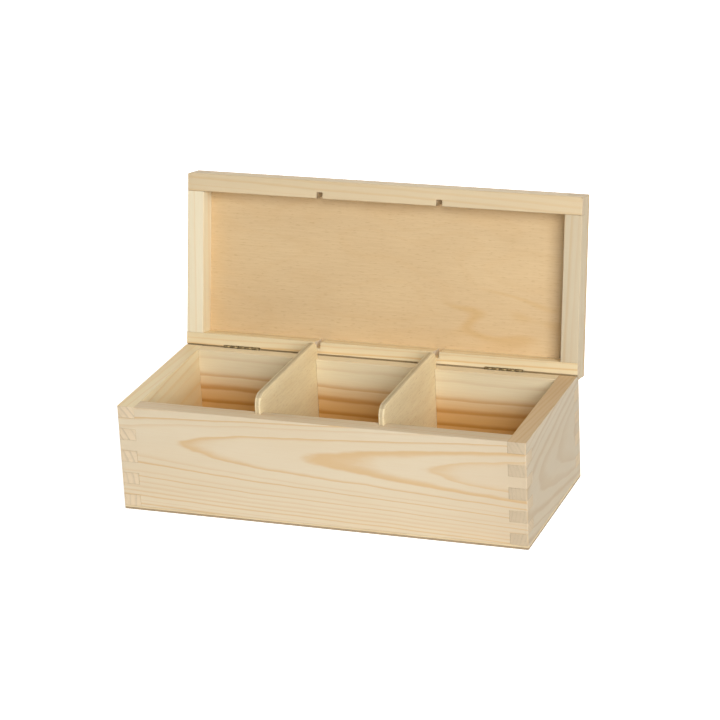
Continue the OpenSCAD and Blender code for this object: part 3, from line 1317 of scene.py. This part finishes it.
class TEABOX_OT_studio(bpy.types.Operator):
    """Builds the floor, the surroundings, the lights and the camera"""

    bl_idname = "teabox.studio"
    bl_label = "Studio"

    def execute(self, context):
        studio = context.scene.tea_box_studio
        self.make_floor(studio)
        self.make_world(context.scene, studio)
        soft_light("front_light", studio.front_power, WIDE_LIGHT, 36.0, 26.0)
        soft_light("back_light", studio.back_power, WIDE_LIGHT, 186.0, 26.0)
        soft_light("side_light", studio.side_power, WIDE_LIGHT, 262.0, 24.0)
        top = soft_light("top_light", studio.top_power, SMALL_LIGHT, 60.0, 66.0)
        top.data.color = studio.top_colour
        self.make_camera(context.scene, studio)
        context.scene.view_settings.view_transform = "Standard"
        return {"FINISHED"}

    def make_floor(self, studio):
        """A wide floor that goes white to the eye and keeps the box's shadow."""
        bm = bmesh.new()
        bmesh.ops.create_grid(bm, x_segments=4, y_segments=4, size=FLOOR_REACH)
        mesh = bpy.data.meshes.new("floor")
        bm.to_mesh(mesh)
        bm.free()
        linked("floor", mesh)
        material, tree, shader = start_material("floor")
        coords = add_node(tree, "ShaderNodeTexCoord").outputs["Object"]
        mottle = stretched_noise(tree, coords, (9.0, 9.0, 9.0), (0, 0, 0), detail=3.0)
        mottled = tinged(tree, rgba(studio.floor_colour), rgba(WHITE[:3], 0.8), mottle, 0.04)
        tree.links.new(mottled, shader.inputs["Base Color"])
        shader.inputs["Roughness"].default_value = 0.9
        shader.inputs["Specular IOR Level"].default_value = 0.1
        away = add_node(tree, "ShaderNodeVectorMath", {0: coords}, operation="LENGTH")
        lift = ramp(tree, away.outputs["Value"], FADE_FROM, FADE_TO, SHADOW_LIFT, 1.0)
        strength = times(tree, seen_directly(tree), lift)
        glow = add_node(tree, "ShaderNodeEmission", {"Color": WHITE, "Strength": strength})
        both = add_node(tree, "ShaderNodeAddShader", {0: shader.outputs[0], 1: glow.outputs[0]})
        output = next(n for n in tree.nodes if n.type == "OUTPUT_MATERIAL")
        tree.links.new(both.outputs[0], output.inputs["Surface"])
        mesh.materials.append(material)

    def make_world(self, scene, studio):
        """Surroundings that light the box evenly and are white to the eye."""
        world = bpy.data.worlds.new("surroundings")
        scene.world = world
        world.use_nodes = True
        tree = world.node_tree
        tree.nodes.clear()
        seen = seen_directly(tree)
        dim = times(tree, minus(tree, 1.0, seen), studio.world_level)
        strength = plus(tree, seen, dim)
        sky = add_node(tree, "ShaderNodeBackground", {"Color": WHITE, "Strength": strength})
        output = add_node(tree, "ShaderNodeOutputWorld")
        tree.links.new(sky.outputs[0], output.inputs["Surface"])

    def make_camera(self, scene, studio):
        """Camera at the photograph's place, turned by its azimuth, elevation and roll."""
        back = seen_from(studio.azimuth, studio.elevation)
        right = (-back).cross(UP).normalized()
        up = right.cross(-back)
        turn = Matrix.Rotation(studio.roll, 3, back)
        axes = Matrix((turn @ right, turn @ up, back)).transposed()
        data = bpy.data.cameras.new("camera")
        data.sensor_width = 36.0
        data.lens = studio.lens
        data.clip_start, data.clip_end = 0.05, 50.0
        camera = linked("camera", data)
        place = CAMERA_TARGET + back * studio.distance
        camera.matrix_world = Matrix.Translation(place) @ axes.to_4x4()
        scene.camera = camera


class TEABOX_PT_sidebar(bpy.types.Panel):
    """Settings and build steps of the tea box"""

    bl_idname = "TEABOX_PT_sidebar"
    bl_label = "Tea Box"
    bl_space_type = "VIEW_3D"
    bl_region_type = "UI"
    bl_category = "Tea Box"

    def draw(self, context):
        for title, group, operators in SECTIONS:
            settings = getattr(context.scene, group)
            box = self.layout.box()
            box.label(text=title)
            for name in settings.bl_rna.properties.keys():
                if name not in ("rna_type", "name"):
                    box.prop(settings, name)
            for operator in operators:
                box.operator(operator.bl_idname)


SECTIONS = (
    ("Edges", "tea_box_case", ()),
    ("Pine", "tea_box_pine", (TEABOX_OT_base_walls, TEABOX_OT_lid_rails)),
    ("Plywood", "tea_box_plywood", (TEABOX_OT_panels, TEABOX_OT_dividers)),
    ("Hinges", "tea_box_hinge", (TEABOX_OT_hinges,)),
    ("Studio", "tea_box_studio", (TEABOX_OT_studio,)),
)
GROUPS = {
    "tea_box_case": TeaBoxCase,
    "tea_box_pine": TeaBoxPine,
    "tea_box_plywood": TeaBoxPlywood,
    "tea_box_hinge": TeaBoxHinge,
    "tea_box_studio": TeaBoxStudio,
}
OPERATORS = (
    TEABOX_OT_studio,
    TEABOX_OT_base_walls,
    TEABOX_OT_lid_rails,
    TEABOX_OT_panels,
    TEABOX_OT_dividers,
    TEABOX_OT_hinges,
)


def register():
    for name, group in GROUPS.items():
        bpy.utils.register_class(group)
        setattr(bpy.types.Scene, name, bpy.props.PointerProperty(type=group))
    for operator in OPERATORS:
        bpy.utils.register_class(operator)
    bpy.utils.register_class(TEABOX_PT_sidebar)


def unregister():
    bpy.utils.unregister_class(TEABOX_PT_sidebar)
    for operator in reversed(OPERATORS):
        bpy.utils.unregister_class(operator)
    for name, group in reversed(GROUPS.items()):
        delattr(bpy.types.Scene, name)
        bpy.utils.unregister_class(group)


def main():
    """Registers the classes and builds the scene."""
    register()
    for operator in OPERATORS:
        group, step = operator.bl_idname.split(".")
        getattr(getattr(bpy.ops, group), step)()


if __name__ == "__main__":
    main()
